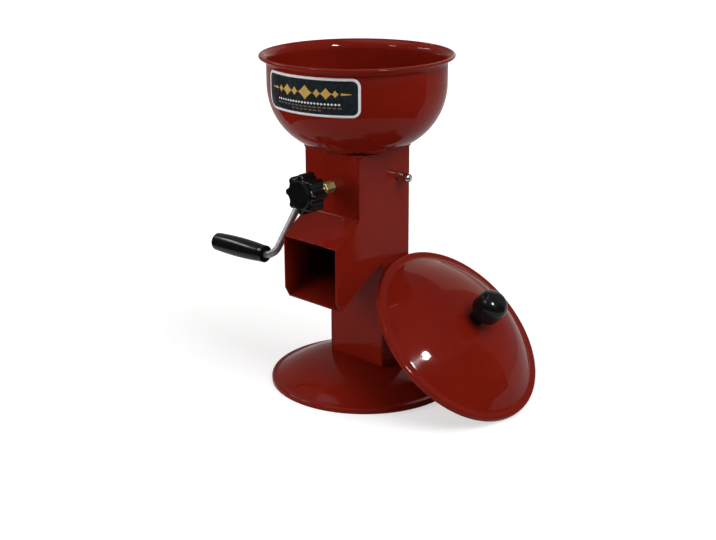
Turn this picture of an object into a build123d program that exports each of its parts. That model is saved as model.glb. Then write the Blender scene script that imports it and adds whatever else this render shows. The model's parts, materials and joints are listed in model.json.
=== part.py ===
from build123d import *
import os
from math import atan2, cos, pi, radians, sin, sqrt, tan

# Crank nutcracker, in millimetres. The origin is on the floor under the middle of the foot, and +Z is up.
# The chute mouth and the star knob face -Y, the crank is on the -X side and the lid leans on the +X side.

# Sheets and fits
plate = 2.0  # column and chute
pressing = 1.2  # bowl, foot and lid
thin_plate = 1.5  # throat plate
seat_gap = 0.2  # between a pressing and the plate edges cut to follow it
running_fit = 0.05  # radial play of a turning or sliding shaft in its bore
pin_fit = 0.02  # radial play of a driven pin or a pressed-on cap
bolt_play = 0.3  # radial play of a screw in its clearance hole
slide_play = 0.3  # play of the jaw in its guides
end_play = 0.3  # play along a shaft
lean_gap = 0.3  # lid edge from the cheek that it leans on

# Column, post and chute
column_width = 77.0
column_depth = 77.0
column_back = 28.0  # rear face, behind the middle of the foot
column_top = 261.0  # seat of the bowl
corner_rise = 2.5  # plate corners over the bowl's seat
post_depth = 41.5
crease_height = 196.0  # fold between column front and chute roof
mouth_reach = 33.4  # mouth edge before the column front
mouth_top = 173.0
mouth_bottom = 115.5
lip_height = 104.5
lip_setback = 6.0
chute_slope = 32.0  # degrees
flange_width = 13.5  # top flange of a cheek, under the bowl
flange_length = 60.0
fold_round = 2.5  # outside of the front panel's fold
cheek_round = 0.8  # ground weld along a cheek's edges

# Pressed dishes: foot and lid are low domes with a flat ring round them
ring_height = 5.5  # flat ring along the edge
step_round = 4.0
hem_round = 2.2
crown_share = 0.85  # part of the crown's run that is rounded
foot_radius = 102.5
foot_ring = 6.0
foot_height = 25.0
foot_flat = 22.0  # flat middle that the post is bolted to
lid_radius = 101.5
lid_ring = 8.5
lid_height = 33.0
lid_flat = 10.0  # flat middle under the lid knob

# Lid pose and knob
lid_tilt = 44.4  # degrees, lid axis from the vertical
lid_turn = 5.3  # degrees, way that the lid faces, from +X towards +Y
lid_back = 22.0  # lid centre behind the middle of the foot
lid_knob_radius = 16.5
lid_knob_low = 10.5  # underside of the knob's head above the lid
lid_knob_height = 28.5  # head of the knob
lid_knob_under_round = 6.5
lid_knob_top_round = 12.0
neck_radius = 8.0
neck_round = 1.5
lid_screw_radius = 3.0
lid_screw_reach = 18.0  # thread inside the knob
lid_washer_radius = 8.0
lid_head_radius = 5.0
lid_head_height = 4.0

# Hopper bowl
rim_radius = 100.0
rim_overhang = 7.5  # rim outside the bowl's wall
bowl_height = 97.0
bowl_round = 66.5  # height of the rounded part
bowl_seat_margin = 0.5  # flat bottom inside the column's sides
rim_bead = 1.8  # radius of the curled edge
flare_turn = 70.0  # degrees
hopper_screw_inset = 8.5  # from the cheek
hopper_screw_y = 13.0
hopper_screw_radius = 2.5
pan_radius = 4.3
pan_height = 3.0
recess_width = 1.1  # cross recess of a screw head
recess_depth = 1.4
hopper_nut_width = 8.0
hopper_nut_height = 4.0

# Foot fixing
foot_plate_height = 3.0
foot_bolt_x = 14.0
foot_bolt_y = 9.0
foot_bolt_radius = 3.0
foot_head_width = 10.0
foot_head_height = 4.0
foot_nut_height = 5.0
foot_washer_radius = 6.0
washer_height = 1.2
thread_tail = 2.0  # thread showing past a nut

# Crank, shaft and roller
rod_radius = 4.0
shaft_drop = 29.5  # shaft under the bowl's seat
roller_radius = 13.0
roller_gap = 0.8  # roller from the rear panel
roller_teeth = 20
tooth_depth = 1.6
crank_reach = 37.5  # middle of the arm from the cheek
crank_throw = 120.7
crank_angle = 38.0  # degrees, arm forward of straight down at rest
crank_bend = 14.0
grip_bend = 12.5
grip_splay = 1.5  # degrees, grip leaning away from the shaft
grip_start = 13.0  # grip end from the middle of the arm
grip_length = 79.0
grip_inner_radius = 9.4
grip_middle_radius = 11.0
grip_outer_radius = 9.9
grip_end_round = 2.6
grip_collar = 6.0  # groove from the inner end
grip_belly = 0.55  # thickest place, as a share of the length
grip_groove = 0.5  # depth
grip_pocket_radius = 6.6
grip_pocket_depth = 5.5
grip_screw_radius = 2.0
grip_screw_length = 12.0
grip_washer_radius = 5.8
grip_head_radius = 3.7
grip_head_height = 2.4
roller_pin_radius = 1.5
bush_radius = 7.5
bush_length = 4.0
shaft_washer_radius = 7.0
shaft_washer_height = 1.4
cap_radius = 5.0
cap_start = 2.5  # cap from the cheek
cap_length = 13.0
cap_depth = 9.0  # shaft inside the cap
cap_collar = 4.5  # groove from the cap's inner end
cap_groove = 0.5  # width and depth

# Gap adjuster and jaw
adjuster_drop = 6.0  # adjuster under the shaft
jaw_gap = 13.0  # jaw teeth from the roller at rest
jaw_depth = 14.0
jaw_below = 14.5  # jaw under the adjuster's axis
jaw_lead = 8.0  # drop of the jaw's sloping top
jaw_above = 19.5  # jaw over the adjuster's axis
jaw_tooth = 4.0  # pitch of the jaw's teeth
jaw_tooth_depth = 1.5
guide_depth = 6.0
guide_height = 16.0
groove_depth = 4.0
groove_height = 8.6
tongue_reach = 3.7
screw_radius = 3.0
spigot_radius = 2.2
clip_radius = 4.5
clip_height = 1.0
clip_groove_radius = 1.8
clip_pocket_radius = 5.5
clip_pocket_depth = 5.0
nut_width = 11.0
nut_length = 13.0
nut_chamfer = 0.8
knob_radius = 21.0
knob_height = 20.0
knob_boss_radius = 15.0
knob_boss_height = 1.2
knob_boss_taper = 40.0  # degrees
knob_gap = 22.0  # knob hub from the column front
hub_radius = 9.0
hub_height = 4.5
knob_lobes = 8
scallop_radius = 6.5
scallop_depth = 3.8
lobe_round = 2.0
knob_edge_round = 2.5
knob_insert = 13.0  # screw inside the knob
throat_flange = 12.0
throat_drop = 8.5
throat_reach = 28.0

# Places worked out from the sizes above
half_width = column_width / 2
inner = half_width - plate
bowl_radius = rim_radius - rim_overhang
bowl_seat = half_width - bowl_seat_margin
wall_low = column_top + bowl_round
bowl_run = bowl_radius - bowl_seat
bowl_curve = (bowl_round**2 + bowl_run**2) / (2 * bowl_run)
plate_top = column_top + corner_rise
hopper_opening = inner - flange_width
hopper_screw_x = inner - hopper_screw_inset
shaft_height = column_top - shaft_drop
adjuster_height = shaft_height - adjuster_drop
jaw_low = adjuster_height - jaw_below
jaw_high = adjuster_height + jaw_above
column_front = column_back - column_depth
axis_y = column_back - column_depth / 2
post_front = column_back - post_depth
post_middle = (post_front + column_back) / 2
mouth_y = column_front - mouth_reach
lip_y = mouth_y + lip_setback
rear_inner = column_back - plate
front_inner = column_front + plate
shaft_y = rear_inner - roller_gap - roller_radius
arm_x = half_width + crank_reach
bush_end = inner - bush_length
roller_half = bush_end - shaft_washer_height - 2 * end_play
jaw_face = shaft_y - roller_radius - jaw_gap
jaw_back = jaw_face - jaw_depth
jaw_half = inner - guide_depth - slide_play
guide_rear = shaft_y - roller_radius - roller_gap
post_low = (ring_height + foot_height) / 2  # inside the foot, which trims the post's plates
foot_top = foot_height + foot_plate_height
bowl_axis = Axis((0, axis_y, 0), (0, 0, 1))
bowl_section = Plane((0, axis_y, 0), x_dir=(1, 0, 0), z_dir=(0, -1, 0))
crank_plane = Plane(
    (0, shaft_y, shaft_height),
    x_dir=(-1, 0, 0),
    z_dir=(0, -cos(radians(crank_angle)), sin(radians(crank_angle))),
)
grip_plane = Plane(
    crank_plane.from_local_coords((arm_x, crank_throw, 0)),
    x_dir=crank_plane.x_dir.rotate(Axis((0, 0, 0), crank_plane.z_dir), grip_splay),
    z_dir=crank_plane.z_dir,
)
grip_axis = Axis(grip_plane.origin, grip_plane.x_dir)
grip_end = grip_start + grip_length
rod_end = grip_end - grip_pocket_depth + end_play
lid_way = Vector(
    sin(radians(lid_tilt)) * cos(radians(lid_turn)),
    sin(radians(lid_tilt)) * sin(radians(lid_turn)),
    cos(radians(lid_tilt)),
)
lid_side = Vector(-sin(radians(lid_turn)), cos(radians(lid_turn)), 0)
lid_centre = Vector(
    half_width + lean_gap + lid_radius * sqrt(1 - lid_way.X**2),
    lid_back,
    lid_radius * sin(radians(lid_tilt)),
)
lid_section = Plane(lid_centre, x_dir=lid_side, z_dir=lid_side.cross(lid_way))
lid_axis = Axis(lid_centre, lid_way)


def floor_under(y):
    """Height of the chute floor's underside."""
    return lip_height + (y - lip_y) * tan(radians(chute_slope))


def across(x):
    """Plane square to the shaft, with its origin on the shaft's axis."""
    return Plane((x, shaft_y, shaft_height), x_dir=(0, 1, 0), z_dir=(1, 0, 0))


def along(y):
    """Plane square to the adjuster screw, looking to the rear, with its origin on the screw's axis."""
    return Plane((0, y, adjuster_height), x_dir=(-1, 0, 0), z_dir=(0, 1, 0))


def dish_line(radius, ring, height, flat):
    """Draw the top line of a pressed dish from its middle to the edge of its hem."""
    ring_start = radius - ring
    crown = (flat + ring_start) / 2
    crown_turn = atan2(height - ring_height, ring_start - crown)
    crown_round = crown_share * (crown - flat) / tan(crown_turn / 2)
    FilletPolyline(
        (0, height),
        (crown, height),
        (ring_start, ring_height),
        (radius, ring_height),
        (radius, 0),
        radius=[crown_round, step_round, hem_round],
    )


def hexagon(width):
    """Draw a hexagon of the given width across flats."""
    RegularPolygon(radius=width / 2, side_count=6, major_radius=False)


def cross_recess(length):
    """Draw the cross for a screwdriver."""
    Rectangle(length, recess_width)
    Rectangle(recess_width, length)


def hopper_spots():
    """Places of the screws that hold the bowl, on the current plane."""
    return GridLocations(2 * hopper_screw_x, 2 * hopper_screw_y, 2, 2)


def foot_spots():
    """Places of the bolts that hold the post, on the current plane."""
    return GridLocations(2 * foot_bolt_x, 2 * foot_bolt_y, 2, 2)


def hopper_level(z):
    """Level plane at the given height, centred on the bowl."""
    return Plane((0, axis_y, z))


def foot_level(z):
    """Level plane at the given height, centred on the post."""
    return Plane((0, post_middle, z))


# Round foot
with BuildPart() as foot_dish:
    with BuildSketch(Plane.XZ):
        with BuildLine():
            dish_line(foot_radius, foot_ring, foot_height, foot_flat)
            offset(amount=pressing, side=Side.RIGHT)
        make_face()
    revolve(axis=Axis.Z)
    with BuildSketch(foot_level(foot_height)):
        with foot_spots():
            Circle(foot_bolt_radius + bolt_play)
    extrude(amount=-2 * pressing, mode=Mode.SUBTRACT)

# Space that the foot's crown takes from the plates above it
with BuildPart() as foot_space:
    with BuildSketch(Plane((0, 0, seat_gap), x_dir=(1, 0, 0), z_dir=(0, -1, 0))):
        with BuildLine():
            dish_line(foot_radius, foot_ring, foot_height, foot_flat)
            Polyline((foot_radius, 0), (0, 0), (0, foot_height))
        make_face()
    revolve(axis=Axis.Z)

# Space that the bowl takes from the plates below it
with BuildPart() as bowl_space:
    with BuildSketch(Plane((0, axis_y, -seat_gap), x_dir=(1, 0, 0), z_dir=(0, -1, 0))):
        with BuildLine():
            Polyline((bowl_radius, wall_low), (0, wall_low), (0, column_top), (bowl_seat, column_top))
            RadiusArc((bowl_seat, column_top), (bowl_radius, wall_low), -bowl_curve)
        make_face()
    revolve(axis=bowl_axis)


# Side plates
def make_cheek(side):
    """Flat side of column, chute and post, with the top flange that the bowl sits on."""
    with BuildPart() as cheek:
        with BuildSketch(Plane.YZ.offset(side * (inner + plate / 2))):
            with BuildLine():
                Polyline(
                    (column_front, plate_top),
                    (column_back, plate_top),
                    (column_back, post_low),
                    (post_front, post_low),
                    (post_front, floor_under(post_front)),
                    (lip_y, lip_height),
                    (mouth_y, mouth_bottom),
                    (mouth_y, mouth_top),
                    (column_front, crease_height),
                    close=True,
                )
            make_face()
            with Locations((shaft_y, shaft_height)):
                Circle(rod_radius + bolt_play, mode=Mode.SUBTRACT)
        extrude(amount=plate / 2, both=True)
        outside = cheek.faces().sort_by(Axis.X)[0 if side < 0 else -1]
        fillet(outside.outer_wire().edges(), cheek_round)
        add(bowl_space.part, mode=Mode.SUBTRACT)
        with BuildSketch(hopper_level(column_top)):
            with Locations((side * (inner - flange_width / 2), 0)):
                Rectangle(flange_width, flange_length)
            with hopper_spots():
                Circle(hopper_screw_radius + bolt_play, mode=Mode.SUBTRACT)
        extrude(amount=-plate)
        add(foot_space.part, mode=Mode.SUBTRACT)
    return cheek.part


left_cheek = make_cheek(-1)
right_cheek = make_cheek(1)

# Column front folded into the chute roof
with BuildPart() as front_panel:
    with BuildSketch(Plane.YZ):
        with BuildLine():
            FilletPolyline(
                (column_front, plate_top),
                (column_front, crease_height),
                (mouth_y, mouth_top),
                radius=fold_round,
            )
            offset(amount=plate, side=Side.LEFT)
        make_face()
    extrude(amount=inner, both=True)
    with BuildSketch(along(column_front)):
        Circle(screw_radius + bolt_play)
    extrude(amount=plate, mode=Mode.SUBTRACT)
    add(bowl_space.part, mode=Mode.SUBTRACT)

# Rear wall of column and post
with BuildPart() as rear_panel:
    with BuildSketch(Plane.YZ):
        with BuildLine():
            Polyline(
                (rear_inner, post_low),
                (column_back, post_low),
                (column_back, plate_top),
                (rear_inner, plate_top),
                close=True,
            )
        make_face()
    extrude(amount=inner, both=True)
    add(bowl_space.part, mode=Mode.SUBTRACT)
    add(foot_space.part, mode=Mode.SUBTRACT)

# Front wall of the lower post
with BuildPart() as post_panel:
    with BuildSketch(Plane.YZ):
        with BuildLine():
            Polyline(
                (post_front, post_low),
                (post_front + plate, post_low),
                (post_front + plate, floor_under(post_front + plate)),
                (post_front, floor_under(post_front)),
                close=True,
            )
        make_face()
    extrude(amount=inner, both=True)
    add(foot_space.part, mode=Mode.SUBTRACT)

# Sloping floor of the chute
with BuildPart() as chute_floor:
    with BuildSketch(Plane.YZ):
        with BuildLine():
            Line((lip_y, lip_height), (rear_inner, floor_under(rear_inner)))
            offset(amount=plate, side=Side.LEFT)
        make_face()
    extrude(amount=inner, both=True)

# Plate that leads nuts from the bowl to the gap
with BuildPart() as throat_plate:
    throat_high = column_top - plate - thin_plate
    with BuildSketch(Plane.YZ):
        with BuildLine():
            Polyline(
                (front_inner, throat_high - throat_flange),
                (front_inner, throat_high),
                (front_inner + throat_reach, throat_high - throat_drop),
            )
            offset(amount=thin_plate, side=Side.RIGHT)
        make_face()
    extrude(amount=inner - slide_play, both=True)

# Plate across the post, bolted to the foot
with BuildPart() as foot_plate:
    with BuildSketch(foot_level(foot_height)):
        Rectangle(2 * inner, post_depth - 2 * plate)
        with foot_spots():
            Circle(foot_bolt_radius + bolt_play, mode=Mode.SUBTRACT)
    extrude(amount=foot_plate_height)

# Washers, bolts and nuts of the foot
with BuildPart() as foot_washers:
    with BuildSketch(foot_level(foot_height - pressing)):
        with foot_spots():
            Circle(foot_washer_radius)
            Circle(foot_bolt_radius + bolt_play, mode=Mode.SUBTRACT)
    extrude(amount=-washer_height)

with BuildPart() as foot_bolts:
    bolt_seat = foot_height - pressing - washer_height
    with BuildSketch(foot_level(bolt_seat)):
        with foot_spots():
            hexagon(foot_head_width)
    extrude(amount=-foot_head_height)
    with BuildSketch(foot_level(bolt_seat)):
        with foot_spots():
            Circle(foot_bolt_radius)
    extrude(amount=foot_top + foot_nut_height + thread_tail - bolt_seat)

with BuildPart() as foot_nuts:
    with BuildSketch(foot_level(foot_top)):
        with foot_spots():
            hexagon(foot_head_width)
            Circle(foot_bolt_radius + running_fit, mode=Mode.SUBTRACT)
    extrude(amount=foot_nut_height)

# Hopper bowl
with BuildPart() as hopper_bowl:
    bowl_top = column_top + bowl_height
    bead_r = rim_radius - rim_bead
    flare_radius = (bead_r - bowl_radius) / (1 - cos(radians(flare_turn)))
    wall_top = bowl_top - rim_bead - flare_radius * sin(radians(flare_turn))
    with BuildSketch(bowl_section):
        with BuildLine():
            Line((hopper_opening, column_top), (bowl_seat, column_top))
            RadiusArc((bowl_seat, column_top), (bowl_radius, wall_low), -bowl_curve)
            Line((bowl_radius, wall_low), (bowl_radius, wall_top))
            JernArc((bowl_radius, wall_top), (0, 1), flare_radius, -flare_turn)
            offset(amount=pressing, side=Side.LEFT)
        make_face()
        with Locations((bead_r, bowl_top - rim_bead)):
            Circle(rim_bead)
    revolve(axis=bowl_axis)
    with BuildSketch(hopper_level(column_top)):
        with hopper_spots():
            Circle(hopper_screw_radius + bolt_play)
    extrude(amount=2 * pressing, mode=Mode.SUBTRACT)

# Screws and nuts of the bowl
with BuildPart() as hopper_screws:
    with BuildSketch(hopper_level(column_top + pressing)):
        with hopper_spots():
            Circle(pan_radius)
    extrude(amount=pan_height)
    fillet(hopper_screws.edges().group_by(Axis.Z)[-1], pan_height / 2)
    with BuildSketch(hopper_level(column_top + pressing + pan_height)):
        with hopper_spots():
            cross_recess(pan_radius)
    extrude(amount=-recess_depth, mode=Mode.SUBTRACT)
    with BuildSketch(hopper_level(column_top + pressing)):
        with hopper_spots():
            Circle(hopper_screw_radius)
    extrude(amount=-(pressing + plate + hopper_nut_height + thread_tail))

with BuildPart() as hopper_nuts:
    with BuildSketch(hopper_level(column_top - plate)):
        with hopper_spots():
            hexagon(hopper_nut_width)
            Circle(hopper_screw_radius + running_fit, mode=Mode.SUBTRACT)
    extrude(amount=-hopper_nut_height)


# Bushes of the shaft
def make_bush(side):
    """Bush brazed to the inside of one cheek, round the hole for the shaft."""
    with BuildPart() as bush:
        with BuildSketch(across(side * bush_end)):
            Circle(bush_radius)
            Circle(rod_radius + running_fit, mode=Mode.SUBTRACT)
        extrude(amount=side * bush_length)
    return bush.part


left_bush = make_bush(-1)
right_bush = make_bush(1)

# Bent crank rod: shaft, arm and grip pin in one
with BuildPart() as crank_rod:
    shaft_tip = half_width + cap_start + cap_depth
    splay = radians(grip_splay)
    with BuildLine(crank_plane) as crank_path:
        FilletPolyline(
            (-shaft_tip, 0),
            (arm_x, 0),
            (arm_x, crank_throw),
            (arm_x + rod_end * cos(splay), crank_throw + rod_end * sin(splay)),
            radius=[crank_bend, grip_bend],
        )
    with BuildSketch(across(shaft_tip)):
        Circle(rod_radius)
    sweep(path=crank_path.line)
    with BuildSketch(Plane((0, shaft_y, shaft_height))):
        Circle(roller_pin_radius + pin_fit)
    extrude(amount=roller_radius, both=True, mode=Mode.SUBTRACT)
    with BuildSketch(Plane(grip_plane.from_local_coords((rod_end, 0, 0)), z_dir=grip_plane.x_dir)):
        Circle(grip_screw_radius + pin_fit)
    extrude(amount=-grip_screw_length, mode=Mode.SUBTRACT)

# Toothed cracking roller
with BuildPart() as cracking_roller:
    with BuildSketch(across(0)):
        with BuildLine():
            step = pi / roller_teeth
            rim = [roller_radius - tooth_depth * (i % 2) for i in range(2 * roller_teeth)]
            Polyline(*[(r * cos(i * step), r * sin(i * step)) for i, r in enumerate(rim)], close=True)
        make_face()
        Circle(rod_radius + running_fit, mode=Mode.SUBTRACT)
    extrude(amount=roller_half, both=True)
    with BuildSketch(Plane((0, shaft_y, shaft_height))):
        Circle(roller_pin_radius + pin_fit)
    extrude(amount=2 * roller_radius, both=True, mode=Mode.SUBTRACT)

with BuildPart() as roller_pin:
    with BuildSketch(Plane((0, shaft_y, shaft_height))):
        Circle(roller_pin_radius)
    extrude(amount=roller_radius - 2 * tooth_depth, both=True)

with BuildPart() as shaft_washers:
    for side in (-1, 1):
        with BuildSketch(across(side * (roller_half + end_play))):
            Circle(shaft_washer_radius)
            Circle(rod_radius + running_fit, mode=Mode.SUBTRACT)
        extrude(amount=side * shaft_washer_height)

# Domed cap on the shaft's right end
with BuildPart() as shaft_cap:
    with BuildSketch(across(half_width + cap_start)):
        Circle(cap_radius)
    extrude(amount=cap_length)
    fillet(shaft_cap.edges().sort_by(Axis.X)[-1], cap_radius - pressing)
    with BuildSketch(across(half_width + cap_start)):
        Circle(rod_radius + pin_fit)
    extrude(amount=cap_depth, mode=Mode.SUBTRACT)
    with BuildSketch(across(half_width + cap_start + cap_collar)):
        Circle(cap_radius)
        Circle(cap_radius - cap_groove, mode=Mode.SUBTRACT)
    extrude(amount=cap_groove, mode=Mode.SUBTRACT)

# Grip that turns on the rod's end, with the washer and screw that keep it there
with BuildPart() as crank_grip:
    collar = grip_start + grip_collar
    middle = grip_start + grip_length * grip_belly
    with BuildSketch(grip_plane):
        with BuildLine():
            Polyline(
                (collar, grip_inner_radius - grip_groove),
                (collar - grip_groove, grip_inner_radius),
                (grip_start + grip_groove, grip_inner_radius),
                (grip_start, grip_inner_radius - grip_groove),
                (grip_start, rod_radius + 2 * running_fit),
                (grip_end - grip_pocket_depth, rod_radius + 2 * running_fit),
                (grip_end - grip_pocket_depth, grip_pocket_radius),
                (grip_end, grip_pocket_radius),
                (grip_end, grip_outer_radius - grip_end_round),
            )
            JernArc((grip_end, grip_outer_radius - grip_end_round), (0, 1), grip_end_round, 90)
            ThreePointArc(
                (grip_end - grip_end_round, grip_outer_radius),
                (middle, grip_middle_radius),
                (collar + grip_groove, grip_inner_radius),
            )
            Line((collar + grip_groove, grip_inner_radius), (collar, grip_inner_radius - grip_groove))
        make_face()
    revolve(axis=grip_axis)

with BuildPart() as grip_washer:
    with BuildSketch(Plane(grip_plane.from_local_coords((rod_end, 0, 0)), z_dir=grip_plane.x_dir)):
        Circle(grip_washer_radius)
        Circle(grip_screw_radius + bolt_play, mode=Mode.SUBTRACT)
    extrude(amount=washer_height)

with BuildPart() as grip_screw:
    grip_seat = Plane(
        grip_plane.from_local_coords((rod_end + washer_height, 0, 0)),
        z_dir=grip_plane.x_dir,
    )
    with BuildSketch(grip_seat):
        Circle(grip_head_radius)
    extrude(amount=grip_head_height)
    fillet(grip_screw.edges().sort_by(grip_axis)[-1], grip_head_height / 3)
    with BuildSketch(grip_seat.offset(grip_head_height)):
        cross_recess(grip_head_radius)
    extrude(amount=-recess_depth, mode=Mode.SUBTRACT)
    with BuildSketch(grip_seat):
        Circle(grip_screw_radius)
    extrude(amount=-grip_screw_length)

# Jaw that the adjuster moves towards the roller
with BuildPart() as jaw_block:
    jaw_face_top = jaw_high - jaw_lead
    tooth_count = int((jaw_face_top - jaw_low) / jaw_tooth)
    teeth = []
    for i in range(tooth_count):
        teeth.append((jaw_face, jaw_face_top - (i + 0.5) * jaw_tooth))
        teeth.append((jaw_face - jaw_tooth_depth, jaw_face_top - (i + 1) * jaw_tooth))
    with BuildSketch(Plane.YZ):
        with BuildLine():
            Polyline(
                (jaw_back, jaw_low),
                (jaw_back, jaw_high),
                (jaw_face - jaw_tooth_depth, jaw_face_top),
                *teeth,
                (jaw_face - jaw_tooth_depth, jaw_low),
                close=True,
            )
        make_face()
    extrude(amount=jaw_half, both=True)
    with BuildSketch(along(jaw_back)):
        Rectangle(2 * (jaw_half + tongue_reach), groove_height - 2 * slide_play)
    extrude(amount=jaw_depth - jaw_tooth_depth)
    with BuildSketch(along(jaw_back)):
        Circle(spigot_radius + running_fit)
    extrude(amount=jaw_depth, mode=Mode.SUBTRACT)
    with BuildSketch(along(jaw_face)):
        Circle(clip_pocket_radius)
    extrude(amount=-clip_pocket_depth, mode=Mode.SUBTRACT)


def make_guide(side):
    """Grooved bar on one cheek that carries the jaw's tongue."""
    with BuildPart() as guide:
        with BuildSketch(along(front_inner + seat_gap)):
            with Locations((-side * (inner - guide_depth / 2), 0)):
                Rectangle(guide_depth, guide_height)
            with Locations((-side * (inner - guide_depth + groove_depth / 2), 0)):
                Rectangle(groove_depth, groove_height, mode=Mode.SUBTRACT)
        extrude(amount=guide_rear - front_inner - seat_gap)
    return guide.part


left_guide = make_guide(-1)
right_guide = make_guide(1)

# Gap adjuster: welded nut, screw with a captive spigot, clip and star knob
with BuildPart() as adjuster_nut:
    with BuildSketch(along(column_front)):
        hexagon(nut_width)
        Circle(screw_radius + running_fit, mode=Mode.SUBTRACT)
    extrude(amount=-nut_length)
    nut_ends = adjuster_nut.faces().sort_by(Axis.Y)[0].outer_wire().edges()
    chamfer(nut_ends, nut_chamfer)

hub_back = column_front - knob_gap
knob_back = hub_back - hub_height
knob_front = knob_back - knob_height
clip_back = jaw_face - clip_pocket_depth + seat_gap

with BuildPart() as adjuster_screw:
    with BuildSketch(along(hub_back - knob_insert)):
        Circle(screw_radius)
    extrude(amount=jaw_back - seat_gap - (hub_back - knob_insert))
    with BuildSketch(along(jaw_back - seat_gap)):
        Circle(spigot_radius)
    extrude(amount=clip_back + 2 * clip_height - (jaw_back - seat_gap))
    with BuildSketch(along(clip_back)):
        Circle(spigot_radius + clip_height)
        Circle(clip_groove_radius, mode=Mode.SUBTRACT)
    extrude(amount=clip_height, mode=Mode.SUBTRACT)

with BuildPart() as screw_clip:
    with BuildSketch(along(clip_back + pin_fit)):
        Circle(clip_radius)
        Circle(clip_groove_radius + pin_fit, mode=Mode.SUBTRACT)
        with Locations((0, -clip_radius)):
            Rectangle(2 * clip_groove_radius, 2 * clip_radius, mode=Mode.SUBTRACT)
    extrude(amount=clip_height - 2 * pin_fit)

with BuildPart() as star_knob:
    scallop_middle = knob_radius - scallop_depth + scallop_radius
    with BuildSketch(along(knob_back)) as knob_outline:
        Circle(knob_radius)
        with PolarLocations(scallop_middle, knob_lobes, start_angle=180 / knob_lobes):
            Circle(scallop_radius, mode=Mode.SUBTRACT)
        fillet(knob_outline.vertices(), lobe_round)
    extrude(amount=-knob_height)
    fillet(star_knob.faces().filter_by(Axis.Y).edges(), knob_edge_round)
    with BuildSketch(along(hub_back)):
        Circle(hub_radius)
    extrude(amount=-hub_height - knob_edge_round)
    with BuildSketch(along(knob_front)):
        Circle(knob_boss_radius)
    extrude(amount=-knob_boss_height, taper=knob_boss_taper)
    with BuildSketch(along(hub_back)):
        Circle(screw_radius + pin_fit)
    extrude(amount=-knob_insert - seat_gap, mode=Mode.SUBTRACT)

# Loose lid with its knob
with BuildPart() as lid_shell:
    with BuildSketch(lid_section):
        with BuildLine():
            dish_line(lid_radius, lid_ring, lid_height, lid_flat)
            offset(amount=pressing, side=Side.RIGHT)
        make_face()
    revolve(axis=lid_axis)
    with BuildSketch(Plane(lid_centre, z_dir=lid_way)):
        Circle(lid_screw_radius + bolt_play)
    extrude(amount=2 * lid_height, mode=Mode.SUBTRACT)

with BuildPart() as lid_knob:
    screw_end = lid_height + lid_screw_reach
    head_low = lid_height + lid_knob_low
    head_high = head_low + lid_knob_height
    with BuildSketch(lid_section):
        with BuildLine():
            Polyline(
                (0, head_high),
                (0, screw_end),
                (lid_screw_radius + pin_fit, screw_end),
                (lid_screw_radius + pin_fit, lid_height),
                (neck_radius, lid_height),
            )
            FilletPolyline(
                (neck_radius, lid_height),
                (neck_radius, head_low),
                (lid_knob_radius, head_low),
                (lid_knob_radius, head_high),
                (0, head_high),
                radius=[neck_round, lid_knob_under_round, lid_knob_top_round],
            )
        make_face()
    revolve(axis=lid_axis)

with BuildPart() as lid_washer:
    under_lid = lid_height - pressing
    washer_bore = lid_screw_radius + bolt_play
    with BuildSketch(lid_section):
        with Locations((washer_bore, under_lid - washer_height)):
            Rectangle(lid_washer_radius - washer_bore, washer_height, align=Align.MIN)
    revolve(axis=lid_axis)

with BuildPart() as lid_screw:
    head_top = under_lid - washer_height
    with BuildSketch(lid_section):
        with BuildLine():
            Polyline(
                (0, head_top - lid_head_height),
                (lid_head_radius, head_top - lid_head_height),
                (lid_head_radius, head_top),
                (lid_screw_radius, head_top),
                (lid_screw_radius, screw_end - seat_gap),
                (0, screw_end - seat_gap),
                close=True,
            )
        make_face()
    revolve(axis=lid_axis)

pieces = {
    "foot_dish": foot_dish.part,
    "foot_plate": foot_plate.part,
    "foot_bolts": foot_bolts.part,
    "foot_washers": foot_washers.part,
    "foot_nuts": foot_nuts.part,
    "left_cheek": left_cheek,
    "right_cheek": right_cheek,
    "front_panel": front_panel.part,
    "rear_panel": rear_panel.part,
    "post_panel": post_panel.part,
    "chute_floor": chute_floor.part,
    "throat_plate": throat_plate.part,
    "hopper_bowl": hopper_bowl.part,
    "hopper_screws": hopper_screws.part,
    "hopper_nuts": hopper_nuts.part,
    "left_bush": left_bush,
    "right_bush": right_bush,
    "left_guide": left_guide,
    "right_guide": right_guide,
    "adjuster_nut": adjuster_nut.part,
    "crank_rod": crank_rod.part,
    "cracking_roller": cracking_roller.part,
    "roller_pin": roller_pin.part,
    "shaft_washers": shaft_washers.part,
    "shaft_cap": shaft_cap.part,
    "grip_washer": grip_washer.part,
    "grip_screw": grip_screw.part,
    "crank_grip": crank_grip.part,
    "jaw_block": jaw_block.part,
    "adjuster_screw": adjuster_screw.part,
    "screw_clip": screw_clip.part,
    "star_knob": star_knob.part,
    "lid_shell": lid_shell.part,
    "lid_knob": lid_knob.part,
    "lid_washer": lid_washer.part,
    "lid_screw": lid_screw.part,
}
os.makedirs("parts", exist_ok=True)
for name, piece in pieces.items():
    piece.label = name
    export_step(piece, f"parts/{name}.step")

print("shaft axis passes", (0, shaft_y, shaft_height))
print("grip axis passes", tuple(grip_plane.origin), "along", tuple(grip_plane.x_dir))
print("adjuster axis passes", (0, knob_front, adjuster_height))
print("lid axis passes", tuple(lid_centre), "along", tuple(lid_way))
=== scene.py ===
import json
from math import cos, pi, radians, sin, sqrt

import bpy
from mathutils import Matrix, Vector


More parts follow.
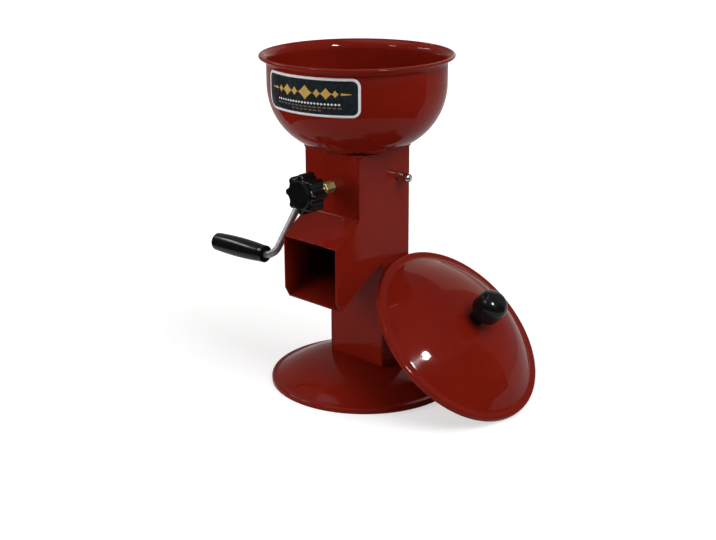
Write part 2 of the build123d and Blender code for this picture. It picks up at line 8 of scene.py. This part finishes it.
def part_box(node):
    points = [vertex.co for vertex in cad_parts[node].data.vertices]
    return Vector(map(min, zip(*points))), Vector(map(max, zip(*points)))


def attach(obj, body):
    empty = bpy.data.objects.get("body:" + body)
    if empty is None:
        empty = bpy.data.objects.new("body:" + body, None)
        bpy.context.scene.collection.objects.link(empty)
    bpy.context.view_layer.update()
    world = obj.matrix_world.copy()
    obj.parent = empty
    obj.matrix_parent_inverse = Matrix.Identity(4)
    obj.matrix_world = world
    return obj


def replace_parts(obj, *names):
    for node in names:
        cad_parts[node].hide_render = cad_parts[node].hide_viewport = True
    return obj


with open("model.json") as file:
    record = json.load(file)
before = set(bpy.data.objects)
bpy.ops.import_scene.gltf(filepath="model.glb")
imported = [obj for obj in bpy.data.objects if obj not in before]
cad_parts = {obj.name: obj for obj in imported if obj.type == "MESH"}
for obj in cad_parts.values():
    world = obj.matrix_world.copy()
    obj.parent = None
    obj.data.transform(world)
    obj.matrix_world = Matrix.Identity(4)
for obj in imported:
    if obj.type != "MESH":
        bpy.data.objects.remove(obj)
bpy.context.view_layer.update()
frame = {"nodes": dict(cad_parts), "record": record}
nodes_by_name = frame["nodes"]
scene = bpy.context.scene

# All lengths are in metres

# Pressed bowl, whose outside the label and the weld bead follow
bowl_y = -0.0105  # place of its axis
bowl_wall = 0.0925  # radius of the upright wall
bowl_arc = 0.06782  # radius of the rounded part in section
bowl_arc_height = 0.3275  # where the rounded part meets the wall
bowl_flat = 0.038  # radius of the flat bottom

# Column under the bowl, and the chute in it
column_half = 0.0385
column_top = 0.261  # where the bowl's bottom lies
chute_inside = 0.0372  # just outside the inner faces of the side plates
chute_painted_shade_depths = (-0.088, -0.045)  # painted shade: where the paint starts to darken inwards, and where it is darkest
chute_painted_shade_darkest = 0.10  # share of the paint's colour that is left where the painted shade is darkest

# Label: a printed sticker with a pale border, a row of lozenges and rows of beads and dashes
label_turn = radians(10.3)  # its middle, from the front towards the right
label_middle = 0.0013  # its middle along the section, from the wall's lower end
label_half = (0.057, 0.0194)
label_corner = 0.0085
label_border = 0.0026
edge_lift, edge_thickness = 0.00014, 0.00013
field_lift, field_thickness = 0.00019, 0.00005
print_lift, print_thickness = 0.00022, 0.00004

# Printed rows, with heights from the label's middle
lozenge_row = 0.0040
middle_lozenge = (0.0082, 0.0070)  # half length and half height
side_lozenges = (  # place along the label, half length and half height
    (0.0130, 0.0042, 0.0042),
    (0.0228, 0.0062, 0.0056),
    (0.0322, 0.0036, 0.0036),
)
lozenge_hollow = 1.35  # 1 gives straight sides, more gives hollow ones
lozenge_tip = 0.00005  # half height of its blunt tips
bar_start, bar_end = 0.0378, 0.0480
bar_thick, bar_thin = 0.0012, 0.0003
bead_row, bead_count, bead_spacing = -0.0062, 21, 0.0036
bead_half = (0.0015, 0.0013)
dash_rows = ((-0.0098, 15), (-0.0129, 7))  # height and number of dashes
dash_spacing = 0.0052
dash_half = (0.0019, 0.0007)

# Weld bead between bowl and column
weld_bead = 0.0017
weld_corner = 0.002
weld_step = 0.0007
weld_waves = (  # share of the bead, rate and start
    (0.16, 0.83, 0.0),
    (0.12, 0.31, 1.3),
    (0.10, 1.97, 0.0),
)

# Adjuster screw, on the axis of the star knob
screw_low, screw_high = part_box("adjuster_screw")
screw_height = (screw_low.z + screw_high.z) / 2
screw_front = screw_low.y
screw_back = screw_high.y
spigot_length = 0.0114
spigot_radius = 0.0022
spigot_chamfer = 0.0003
screw_step = screw_back - spigot_length  # where the thread ends and the plain spigot starts
thread_radius = 0.003
thread_depth = 0.00061
thread_pitch = 0.001
thread_crest, thread_root = 0.88, 0.12  # where a sharp thread is cut flat, as shares of its height

# Levels of the surroundings, which are white to about 10 degrees above the horizon, under a dimmer ceiling
gloss_share = 0.12  # how much of them shows in gloss
ceiling_start = (0.17, 0.22)  # sines of the angles over which white gives way to the ceiling
ceiling_level = 0.28
world_light = 0.28  # what they give as light


# Node helpers
def node_adder(tree):
    """Function that adds a node with inputs and settings to a tree."""
    def add(kind, inputs=(), **settings):
        node = tree.nodes.new(kind)
        for key, value in settings.items():
            setattr(node, key, value)
        for socket, value in dict(inputs).items():
            if isinstance(value, bpy.types.NodeSocket):
                tree.links.new(value, node.inputs[socket])
            else:
                node.inputs[socket].default_value = value
        return node

    return add


def new_material(name):
    """Material with its shader, and functions that add a node and link two sockets."""
    material = bpy.data.materials.new(name)
    material.use_nodes = True
    tree = material.node_tree
    return material, tree.nodes["Principled BSDF"], node_adder(tree), tree.links.new


def make_dull(shader, grey, roughness):
    """Plain grey without gloss."""
    shader.inputs["Base Color"].default_value = (grey, grey, grey, 1)
    shader.inputs["Roughness"].default_value = roughness
    shader.inputs["Specular IOR Level"].default_value = 0.0


def colour_ramp(add, source, stops):
    """Colour ramp over a grey value, from (place, colour) stops."""
    ramp = add("ShaderNodeValToRGB", {"Fac": source})
    band = ramp.color_ramp
    for place, colour in stops[1:-1]:
        band.elements.new(place).color = (*colour, 1)
    ends = (band.elements[0], band.elements[-1])
    for element, (place, colour) in zip(ends, (stops[0], stops[-1])):
        element.position = place
        element.color = (*colour, 1)
    return ramp.outputs["Color"]


def map_range(add, source, before, after):
    """Value carried from one range to another, and held at the ends."""
    inputs = {
        "Value": source,
        "From Min": before[0],
        "From Max": before[1],
        "To Min": after[0],
        "To Max": after[1],
    }
    return add("ShaderNodeMapRange", inputs).outputs["Result"]


def calculate(add, operation, *values):
    """Result of an operation on one or two values."""
    return add("ShaderNodeMath", dict(enumerate(values)), operation=operation).outputs[0]


def noise(add, place, scale, detail=3.0, rough=0.5):
    """Noise of the given scale, in cycles a metre."""
    inputs = {"Vector": place, "Scale": scale, "Detail": detail, "Roughness": rough}
    return add("ShaderNodeTexNoise", inputs).outputs["Fac"]


def painted_shade_share(add, place):
    """Share of the colour left by the painted shade: 1 at the chute's mouth and outside the side plates,
    falling to a little deep inside.
    """
    axes = add("ShaderNodeSeparateXYZ", {0: place}).outputs
    depth = map_range(add, axes["Y"], chute_painted_shade_depths, (1.0, chute_painted_shade_darkest))
    outside = calculate(add, "GREATER_THAN", calculate(add, "ABSOLUTE", axes["X"]), chute_inside)
    return calculate(add, "MAXIMUM", depth, outside)


def seen_rays(add):
    """1 for rays that show the surroundings straight on or through glass, less for gloss, 0 for others."""
    path = add("ShaderNodeLightPath").outputs
    gloss = calculate(add, "MULTIPLY", path["Is Glossy Ray"], gloss_share)
    seen = calculate(add, "MAXIMUM", path["Is Camera Ray"], gloss)
    return calculate(add, "MAXIMUM", seen, path["Is Transmission Ray"])


noise_range = (0.3, 0.7)  # where nearly all noise values lie


def finish_material(name, colours, colour_scale, roughness, rough_scale, bumps,
                    metal=0.0, ior=1.5, round_edges=0.0, glance=1.0, chute=False):
    """Solid finish whose colour, gloss and surface vary a little from place to place, with painted shade
    deep inside the chute when chute is set.
    """
    material, shader, add, link = new_material(name)
    place = add("ShaderNodeTexCoord").outputs["Object"]
    shader.inputs["Metallic"].default_value = metal
    shader.inputs["IOR"].default_value = ior
    shader.inputs["Specular Tint"].default_value = (glance, glance, glance, 1)
    colour = colour_ramp(add, noise(add, place, colour_scale, detail=4.0, rough=0.6), colours)
    # Painted shade: the colour is darkened deep inside the chute
    if chute:
        shade = {0: colour, "Scale": painted_shade_share(add, place)}
        colour = add("ShaderNodeVectorMath", shade, operation="SCALE").outputs[0]
    link(colour, shader.inputs["Base Color"])
    rough = map_range(add, noise(add, place, rough_scale), noise_range, roughness)
    link(rough, shader.inputs["Roughness"])
    normal = None
    if round_edges:
        normal = add("ShaderNodeBevel", {"Radius": round_edges}, samples=6).outputs["Normal"]
    for scale, height in bumps:
        wave = noise(add, place, scale, detail=2.0)
        inputs = {"Height": wave, "Distance": height, "Strength": 1.0}
        if normal:
            inputs["Normal"] = normal
        normal = add("ShaderNodeBump", inputs).outputs["Normal"]
    if normal:
        link(normal, shader.inputs["Normal"])
    return material


# Materials, with bumps given as scale and height
enamel = {
    "colours": [
        (0.3, (0.158, 0.0080, 0.0034)),
        (0.55, (0.180, 0.0098, 0.0044)),
        (0.75, (0.200, 0.0120, 0.0056)),
    ],
    "colour_scale": 14.0,
    "roughness": (0.04, 0.09),
    "rough_scale": 30.0,
    "bumps": [(22.0, 0.00035), (420.0, 0.000006)],
    "ior": 1.2,
    "round_edges": 0.0007,
}
red_paint = finish_material("red_enamel", **enamel)
chute_paint_with_painted_shade = finish_material("red_enamel_painted_shade_chute", **enamel, chute=True)  # painted shade that darkens the enamel deep inside the chute
black_plastic = finish_material(
    "black_plastic",
    colours=[(0.3, (0.0034, 0.0036, 0.0036)), (0.7, (0.0056, 0.0058, 0.0057))],
    colour_scale=60.0,
    roughness=(0.14, 0.24),
    rough_scale=90.0,
    bumps=[(700.0, 0.000006)],
    ior=1.33,
    round_edges=0.0004,
)
chrome = finish_material(
    "chrome_plate",
    colours=[(0.3, (0.33, 0.33, 0.335)), (0.7, (0.40, 0.40, 0.405))],
    colour_scale=70.0,
    roughness=(0.46, 0.56),
    rough_scale=120.0,
    bumps=[(300.0, 0.000008)],
    metal=1.0,
    glance=0.6,
)
polished_chrome = finish_material(
    "polished_chrome",
    colours=[(0.3, (0.62, 0.62, 0.63)), (0.7, (0.70, 0.70, 0.71))],
    colour_scale=70.0,
    roughness=(0.15, 0.23),
    rough_scale=120.0,
    bumps=[(300.0, 0.000006)],
    metal=1.0,
)
yellow_zinc = finish_material(
    "yellow_zinc",
    colours=[(0.3, (0.36, 0.32, 0.11)), (0.5, (0.46, 0.42, 0.20)), (0.7, (0.32, 0.38, 0.17))],
    colour_scale=160.0,
    roughness=(0.36, 0.50),
    rough_scale=240.0,
    bumps=[(900.0, 0.000010)],
    metal=1.0,
    round_edges=0.0003,
)
cast_iron = finish_material(
    "cast_iron",
    colours=[(0.3, (0.070, 0.068, 0.066)), (0.7, (0.125, 0.122, 0.118))],
    colour_scale=180.0,
    roughness=(0.42, 0.60),
    rough_scale=220.0,
    bumps=[(800.0, 0.00006)],
    metal=0.7,
    round_edges=0.0003,
)
bronze = finish_material(
    "sintered_bronze",
    colours=[(0.3, (0.36, 0.22, 0.085)), (0.7, (0.47, 0.30, 0.13))],
    colour_scale=250.0,
    roughness=(0.32, 0.45),
    rough_scale=300.0,
    bumps=[(1400.0, 0.000020)],
    metal=1.0,
)
steel = finish_material(
    "zinc_steel",
    colours=[(0.3, (0.44, 0.44, 0.45)), (0.7, (0.55, 0.55, 0.56))],
    colour_scale=220.0,
    roughness=(0.26, 0.40),
    rough_scale=300.0,
    bumps=[(900.0, 0.000010)],
    metal=1.0,
    round_edges=0.0002,
)
label_surface = {"rough_scale": 120.0, "bumps": [(260.0, 0.000010)]}
label_white = finish_material(
    "label_white",
    colours=[(0.3, (0.70, 0.71, 0.74)), (0.7, (0.78, 0.79, 0.81))],
    colour_scale=90.0,
    roughness=(0.25, 0.36),
    **label_surface,
)
label_black = finish_material(
    "label_black",
    colours=[(0.3, (0.010, 0.013, 0.016)), (0.7, (0.018, 0.021, 0.024))],
    colour_scale=90.0,
    roughness=(0.22, 0.34),
    ior=1.2,
    **label_surface,
)
label_gold = finish_material(
    "label_gold",
    colours=[(0.3, (0.46, 0.27, 0.055)), (0.7, (0.58, 0.36, 0.090))],
    colour_scale=240.0,
    roughness=(0.30, 0.42),
    **label_surface,
)
label_brown = finish_material(
    "label_brown",
    colours=[(0.3, (0.115, 0.075, 0.050)), (0.7, (0.165, 0.110, 0.075))],
    colour_scale=240.0,
    roughness=(0.30, 0.42),
    **label_surface,
)

slot_material = {
    "red_paint": red_paint,
    "black_plastic": black_plastic,
    "chrome": chrome,
    "yellow_zinc": yellow_zinc,
    "cast_iron": cast_iron,
    "bronze": bronze,
    "steel": steel,
}
for entry in frame["record"]["subparts"]:
    mesh = nodes_by_name[entry["node"]].data
    mesh.materials.clear()
    mesh.materials.append(slot_material[entry["material_slot"]])
nodes_by_name["shaft_cap"].data.materials[0] = polished_chrome  # brighter than the rod
# Painted shade deep inside the chute, on the side plates and the chute floor
for name in ("left_cheek", "right_cheek", "chute_floor"):
    nodes_by_name[name].data.materials[0] = chute_paint_with_painted_shade


# Pieces made here
def new_object(name, data):
    """Object in the scene with the given data."""
    item = bpy.data.objects.new(name, data)
    scene.collection.objects.link(item)
    return item


def make_piece(name, points, faces, material, body, smooth=True):
    """Mesh object that rides on a body."""
    mesh = bpy.data.meshes.new(name)
    mesh.from_pydata(points, [], faces)
    mesh.update()
    for polygon in mesh.polygons:
        polygon.use_smooth = smooth
    mesh.materials.append(material)
    piece = new_object(name, mesh)
    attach(piece, body)
    return piece


def thicken(piece, thickness):
    """Give a sheet a thickness, inwards from its outer face."""
    solid = piece.modifiers.new("thickness", "SOLIDIFY")
    solid.thickness = thickness
    solid.offset = -1.0


def on_bowl(along, up, lift):
    """Point on the outside of the bowl, from lengths measured on the label, raised by lift."""
    turn = label_turn + along / bowl_wall
    section = label_middle + up
    angle = min(section, 0.0) / bowl_arc
    radius = bowl_wall - bowl_arc + (bowl_arc + lift) * cos(angle)
    height = bowl_arc_height + (bowl_arc + lift) * sin(angle) + max(section, 0.0)
    return (radius * sin(turn), bowl_y - radius * cos(turn), height)


def strip_on_bowl(outline, lift, rows, start=0):
    """Points and faces between the lower and upper heights given at places along the label."""
    points, faces = [], []
    for along, low, high in outline:
        for k in range(rows + 1):
            points.append(on_bowl(along, low + (high - low) * k / rows, lift))
    for i in range(len(outline) - 1):
        for k in range(rows):
            first = start + i * (rows + 1) + k
            faces.append((first, first + rows + 1, first + rows + 2, first + 1))
    return points, faces


def rounded_half_height(along, half, corner):
    """Half height of a rounded rectangle at a place along it."""
    into_corner = abs(along) - (half[0] - corner)
    if into_corner <= 0:
        return half[1]
    return half[1] - corner + sqrt(max(corner**2 - into_corner**2, 0.0))


def label_sheet(name, half, corner, lift, thickness, material, columns=150, rows=24):
    """Rounded rectangle of sticker laid on the bowl."""
    reach = half[0] * 0.999999  # keeps the end columns inside the rounded corners
    outline = []
    for i in range(columns + 1):
        along = reach * sin((i / columns * 2 - 1) * pi / 2)
        tall = rounded_half_height(along, half, corner)
        outline.append((along, -tall, tall))
    points, faces = strip_on_bowl(outline, lift, rows)
    thicken(make_piece(name, points, faces, material, "frame"), thickness)


def label_shapes(name, outlines, material, rows=6):
    """Printed shapes on the label."""
    points, faces = [], []
    for outline in outlines:
        more_points, more_faces = strip_on_bowl(outline, print_lift, rows, start=len(points))
        points += more_points
        faces += more_faces
    piece = make_piece(name, points, faces, material, "frame", smooth=False)
    thicken(piece, print_thickness)


def lozenge(middle, up, half_length, half_height, columns=16):
    """Lozenge with gently hollow sides."""
    outline = []
    for i in range(columns + 1):
        share = i / columns * 2 - 1
        tall = half_height * (1 - abs(share)) ** lozenge_hollow + lozenge_tip
        outline.append((middle + share * half_length, up - tall, up + tall))
    return outline


def tapered_bar(start, end, up, thick, thin, columns=24):
    """Bar that thins from its start to its end."""
    outline = []
    for i in range(columns + 1):
        share = i / columns
        tall = thick + (thin - thick) * share
        outline.append((start + (end - start) * share, up - tall, up + tall))
    return outline if end > start else outline[::-1]


def dash(middle, up, half_length, half_height):
    """Short bar."""
    low, high = up - half_height, up + half_height
    return [(middle + share * half_length, low, high) for share in (-1, -0.5, 0, 0.5, 1)]


def row_places(count, spacing):
    """Places of evenly spaced shapes, about the label's middle."""
    return [(i - count // 2) * spacing for i in range(count)]


label_sheet("label_edge", label_half, label_corner, edge_lift, edge_thickness, label_white)
field_half = (label_half[0] - label_border, label_half[1] - label_border)
field_corner = label_corner - label_border
label_sheet("label_field", field_half, field_corner, field_lift, field_thickness, label_black)
gold_shapes = [lozenge(0.0, lozenge_row, *middle_lozenge)]
for side in (-1, 1):
    for along, half_length, half_height in side_lozenges:
        gold_shapes.append(lozenge(side * along, lozenge_row, half_length, half_height))
    gold_shapes.append(tapered_bar(side * bar_start, side * bar_end, lozenge_row, bar_thick, bar_thin))
label_shapes("label_lozenges", gold_shapes, label_gold)
white_shapes = [lozenge(along, bead_row, *bead_half) for along in row_places(bead_count, bead_spacing)]
label_shapes("label_beads", white_shapes, label_white)
brown_shapes = []
for up, count in dash_rows:
    brown_shapes += [dash(along, up, *dash_half) for along in row_places(count, dash_spacing)]
label_shapes("label_dashes", brown_shapes, label_brown)


def weld_path(corner_steps=4):
    """Places round the column's top from its middle, each with the way it faces."""
    path = []
    run = column_half - weld_corner
    count = round(2 * run / weld_step)
    for quarter in range(4):
        facing = quarter * pi / 2
        out, side = Vector((cos(facing), sin(facing))), Vector((-sin(facing), cos(facing)))
        for i in range(count):
            path.append((out * column_half + side * (2 * run * i / count - run), facing))
        for i in range(corner_steps):
            angle = facing + pi / 2 * i / corner_steps
            path.append(((out + side) * run + Vector((cos(angle), sin(angle))) * weld_corner, angle))
    return path


def make_weld(around=10):
    """Painted weld bead along the joint of bowl and column."""
    path = weld_path()
    points, faces = [], []
    for i, (place, facing) in enumerate(path):
        past_flat = max(place.length - bowl_flat, 0.0)
        height = column_top + bowl_arc - sqrt(bowl_arc**2 - past_flat**2)
        waves = sum(share * sin(rate * i + start) for share, rate, start in weld_waves)
        radius = weld_bead * (1 + waves)
        for k in range(around):
            angle = 2 * pi * k / around
            x, y = place + Vector((cos(facing), sin(facing))) * (radius * cos(angle))
            points.append((x, bowl_y + y, height + radius * sin(angle)))
    for i in range(len(path)):
        here, after = i * around, (i + 1) % len(path) * around
        for k in range(around):
            beside = (k + 1) % around
            faces.append((here + k, after + k, after + beside, here + beside))
    make_piece("bowl_weld", points, faces, red_paint, "frame")


make_weld()


def make_screw(around=36, rings_a_turn=8):
    """Adjuster screw with its thread, and the plain spigot that holds the jaw."""
    points, faces = [], []

    def add_point(k, y, radius):
        angle = 2 * pi * k / around
        points.append((radius * sin(angle), y, screw_height + radius * cos(angle)))

    thread_length = screw_step - screw_front
    steps = int(thread_length / thread_pitch * rings_a_turn)
    for i in range(steps + 1):
        y = screw_front + thread_length * i / steps
        for k in range(around):
            phase = ((y - screw_front) / thread_pitch - k / around) % 1.0
            ridge = 1 - abs(2 * phase - 1)
            cut = (thread_crest - ridge) / (thread_crest - thread_root)
            add_point(k, y, thread_radius - thread_depth * min(max(cut, 0.0), 1.0))
    spigot = (
        (screw_step, spigot_radius),
        (screw_back - spigot_chamfer, spigot_radius),
        (screw_back, spigot_radius - spigot_chamfer),
    )
    for y, radius in spigot:
        for k in range(around):
            add_point(k, y, radius)
    last = (steps + len(spigot)) * around
    for here in range(0, last, around):
        for k in range(around):
            beside = (k + 1) % around
            faces.append((here + k, here + beside, here + around + beside, here + around + k))
    faces.append(tuple(range(around - 1, -1, -1)))
    faces.append(tuple(last + k for k in range(around)))
    return make_piece("adjuster_thread", points, faces, yellow_zinc, "adjuster")


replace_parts(make_screw(), "adjuster_screw")

# Camera at the photograph's place
camera_place = (0.8957, -0.9566, 0.5668)
camera_forward = Vector((-0.6511, 0.6878, -0.3209)).normalized()
camera_right = Vector((0.7271, 0.6865, -0.0041))
camera_right = (camera_right - camera_forward * camera_right.dot(camera_forward)).normalized()
camera_up = camera_right.cross(camera_forward)
camera_data = bpy.data.cameras.new("camera")
camera_data.sensor_width = 36.0
camera_data.lens = 64.52
camera_data.clip_end = 20.0
camera = new_object("camera", camera_data)
camera_turn = Matrix((camera_right, camera_up, -camera_forward)).transposed().to_4x4()
camera.matrix_world = Matrix.Translation(camera_place) @ camera_turn
scene.camera = camera

# Pale floor, lifted to white away from the part
floor_half = 6.0
floor_height = -0.0002
floor_reach = (0.2, 1.6)  # from the part, where the lift starts and where it is full
floor_glow = (0.52, 0.97)
floor_corners = []
for x, y in ((-1, -1), (1, -1), (1, 1), (-1, 1)):
    floor_corners.append((x * floor_half, y * floor_half, floor_height))
floor_mesh = bpy.data.meshes.new("floor")
floor_mesh.from_pydata(floor_corners, [], [(0, 1, 2, 3)])
floor = new_object("floor", floor_mesh)
floor_material, floor_shader, floor_add, floor_link = new_material("pale_floor")
make_dull(floor_shader, grey=0.62, roughness=0.9)
floor_mesh.materials.append(floor_material)
floor_shader.inputs["Emission Color"].default_value = (1, 1, 1, 1)
floor_place = floor_add("ShaderNodeTexCoord").outputs["Object"]
floor_distance = floor_add("ShaderNodeVectorMath", {0: floor_place}, operation="LENGTH").outputs["Value"]
floor_lift = map_range(floor_add, floor_distance, floor_reach, floor_glow)
floor_strength = calculate(floor_add, "MULTIPLY", seen_rays(floor_add), floor_lift)
floor_link(floor_strength, floor_shader.inputs["Emission Strength"])

# Surroundings
world = bpy.data.worlds.new("studio")
scene.world = world
world.use_nodes = True
world_tree = world.node_tree
world_add = node_adder(world_tree)
background = world_tree.nodes["Background"]
background.inputs["Color"].default_value = (1, 1, 1, 1)
world_place = world_add("ShaderNodeTexCoord").outputs["Generated"]
world_way = world_add("ShaderNodeSeparateXYZ", {0: world_place}).outputs
world_white = map_range(world_add, world_way["Z"], ceiling_start, (1.0, ceiling_level))
world_level = map_range(world_add, seen_rays(world_add), (0.0, 1.0), (world_light, world_white))
world_tree.links.new(world_level, background.inputs["Strength"])


def area_light(name, place, target, size, power, shape="RECTANGLE", colour=(1.0, 1.0, 1.0),
               lights=True, shows=True):
    """Lamp of the given width and height that faces a target, lights the part and shows in its gloss."""
    data = bpy.data.lights.new(name, "AREA")
    data.shape = shape
    data.size, data.size_y = size
    data.energy = power
    data.color = colour
    lamp = new_object(name, data)
    lamp.location = place
    lamp.rotation_euler = (Vector(target) - Vector(place)).to_track_quat("-Z", "Y").to_euler()
    lamp.visible_diffuse = lights
    lamp.visible_glossy = shows


# Lamps that light the part without a square patch in the gloss
area_light("soft_panel", (1.25, -0.02, 1.40), (0.03, 0.0, 0.15), (1.2, 1.2), 21.0, shows=False)
area_light("fill", (-0.95, -1.20, 0.55), (0.0, 0.0, 0.12), (0.8, 0.8), 13.0, shows=False)

# Lamps that do both
area_light("overhead", (-0.35, -0.25, 1.9), (0.0, 0.0, 0.1), (1.1, 1.1), 4.0)
area_light("back_panel", (-0.50, 1.55, 0.95), (0.0, 0.0, 0.15), (1.26, 1.3), 3.8,
           colour=(1.0, 0.86, 0.72))

# Lamps of which only the bright reflection shows
area_light("glint", (1.222, -0.336, 1.215), (0.134, -0.055, 0.078), (0.18, 0.18), 34.0,
           shape="DISK", lights=False)
area_light("side_glint", (-0.24, -1.216, 1.21), (0.15, 0.02, 0.11), (0.2, 0.2), 4.0, lights=False)
area_light("strip", (-1.18, -0.56, 1.07), (-0.11, -0.06, 0.14), (0.62, 0.13), 4.2, lights=False)


# Black card round the front, which shows in the gloss alone
def make_card(radius, height, first, last, steps=48):
    """Upright strip of card on a circle round the part, between two turns from the front."""
    points, faces = [], []
    for i in range(steps + 1):
        turn = first + (last - first) * i / steps
        for z in (0.0, height):
            points.append((radius * sin(turn), -radius * cos(turn), z))
    for i in range(steps):
        faces.append((2 * i, 2 * i + 2, 2 * i + 3, 2 * i + 1))
    mesh = bpy.data.meshes.new("dark_card")
    mesh.from_pydata(points, [], faces)
    card = new_object("dark_card", mesh)
    material, shader = new_material("card_black")[:2]
    make_dull(shader, grey=0.01, roughness=1.0)
    mesh.materials.append(material)
    card.visible_camera = False
    card.visible_diffuse = False
    card.visible_shadow = False


make_card(radius=0.42, height=0.28, first=radians(-75), last=radians(128))

scene.view_settings.view_transform = "Standard"
